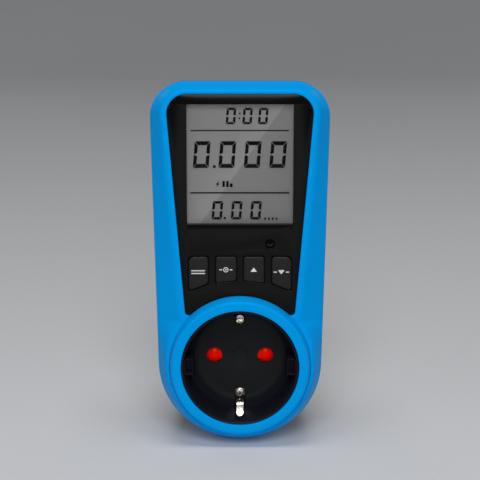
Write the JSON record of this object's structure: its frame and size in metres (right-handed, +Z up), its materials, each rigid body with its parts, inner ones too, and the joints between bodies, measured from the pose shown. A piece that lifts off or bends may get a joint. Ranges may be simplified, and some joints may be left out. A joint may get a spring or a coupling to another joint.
{
  "type": "plug-in power meter",
  "caption": "Blue and black plug-in power meter with a grey segment display, keys, a round earthed socket with red shutters in front and an earthed plug behind.",
  "frame": {"origin": "centre of the rear plug's nose face, halfway between its two pins", "axes": "+Z up along the body, +Y out of the nose face towards the wall along the pins, so the display and the socket face -Y"},
  "size_m": [0.0642, 0.076, 0.1332],
  "materials": {
    "blue_plastic": "satin, medium blue",
    "black_plastic": "fine texture, black",
    "black_gloss": "polished black",
    "clear_lens": "clear acrylic sheet",
    "lcd_glass": "grey liquid-crystal glass",
    "reflector_film": "pale diffusing film",
    "white_plastic": "off-white moulded",
    "grey_rubber": "grey elastomer",
    "circuit_board": "green solder mask",
    "key_plastic": "fine texture, black",
    "steel": "bright zinc",
    "green_sleeve": "shrink sleeve",
    "red_plastic": "bright red",
    "nickel": "nickel plate",
    "brass": "bright brass",
    "yellow_plastic": "moulded case",
    "blue_sleeve": "sleeve or coating",
    "copper_alloy": "resistance alloy",
    "brown_sleeve": "wire insulation",
    "label_film": "blank silver film"
  },
  "bodies": {
    "housing": {"front_shell": "blue_plastic", "rear_shell": "black_plastic", "case_screw_upper_left": "steel", "case_screw_upper_right": "steel", "case_screw_lower_left": "steel", "case_screw_lower_right": "steel", "rating_label": "label_film", "fascia_panel": "black_gloss", "lcd_lens": "clear_lens", "lcd_cell": "lcd_glass", "lcd_reflector": "reflector_film", "lcd_holder": "white_plastic", "zebra_strip": "grey_rubber", "display_board": "circuit_board", "function_switch": "black_plastic", "cost_switch": "black_plastic", "up_switch": "black_plastic", "down_switch": "black_plastic", "reset_switch": "black_plastic", "controller_chip": "black_plastic", "clock_crystal": "steel", "backup_battery": "green_sleeve", "display_board_screw_left": "steel", "display_board_screw_right": "steel", "ribbon_cable": "grey_rubber", "socket_insert": "black_plastic", "insert_screw_left": "steel", "insert_screw_right": "steel", "shutter_spring": "steel", "shutter_screw": "steel", "upper_earth_strap": "nickel", "lower_earth_strap": "nickel", "line_contact": "brass", "neutral_contact": "brass", "contact_carrier": "white_plastic", "plug_nose": "black_plastic", "line_pin": "nickel", "neutral_pin": "nickel", "power_board": "circuit_board", "power_board_screw_left": "steel", "power_board_screw_right": "steel", "film_capacitor": "yellow_plastic", "smoothing_capacitor": "blue_sleeve", "varistor": "blue_sleeve", "metering_chip": "black_plastic", "current_shunt": "copper_alloy", "line_lead": "brown_sleeve", "neutral_lead": "blue_sleeve"},
    "function_button": {"function_key": "key_plastic", "function_plunger": "white_plastic"},
    "cost_button": {"cost_key": "key_plastic", "cost_plunger": "white_plastic"},
    "up_button": {"up_key": "key_plastic", "up_plunger": "white_plastic"},
    "down_button": {"down_key": "key_plastic", "down_plunger": "white_plastic"},
    "reset_button": {"reset_plunger": "black_plastic"},
    "shutter": {"safety_shutter": "red_plastic"},
    "upper_clip": {"upper_earth_clip": "nickel"},
    "lower_clip": {"lower_earth_clip": "nickel"}
  },
  "joints": [
    {"name": "function_press", "type": "slide", "parent": "housing", "child": "function_button", "axis": [0, 1, 0], "range_m": [0, 0.0008], "stiffness_N_per_m": 1500, "springref_m": -0.0002},
    {"name": "cost_press", "type": "slide", "parent": "housing", "child": "cost_button", "axis": [0, 1, 0], "range_m": [0, 0.0008], "stiffness_N_per_m": 1500, "springref_m": -0.0002},
    {"name": "up_press", "type": "slide", "parent": "housing", "child": "up_button", "axis": [0, 1, 0], "range_m": [0, 0.0008], "stiffness_N_per_m": 1500, "springref_m": -0.0002},
    {"name": "down_press", "type": "slide", "parent": "housing", "child": "down_button", "axis": [0, 1, 0], "range_m": [0, 0.0008], "stiffness_N_per_m": 1500, "springref_m": -0.0002},
    {"name": "reset_press", "type": "slide", "parent": "housing", "child": "reset_button", "axis": [0, 1, 0], "range_m": [0, 0.0006], "stiffness_N_per_m": 1500, "springref_m": -0.0002},
    {"name": "shutter_turn", "type": "hinge", "parent": "housing", "child": "shutter", "pos_m": [0, -0.0375, 0], "axis": [0, -1, 0], "range_deg": [0, 40], "stiffness_Nm_per_rad": 0.01, "springref_deg": -17.19},
    {"name": "upper_clip_flex", "type": "hinge", "parent": "housing", "child": "upper_clip", "pos_m": [0, -0.038, 0.0191], "axis": [-1, 0, 0], "range_deg": [0, 2], "stiffness_Nm_per_rad": 3, "springref_deg": -2.86},
    {"name": "lower_clip_flex", "type": "hinge", "parent": "housing", "child": "lower_clip", "pos_m": [0, -0.038, -0.0191], "axis": [1, 0, 0], "range_deg": [0, 2], "stiffness_Nm_per_rad": 3, "springref_deg": -2.86}
  ]
}
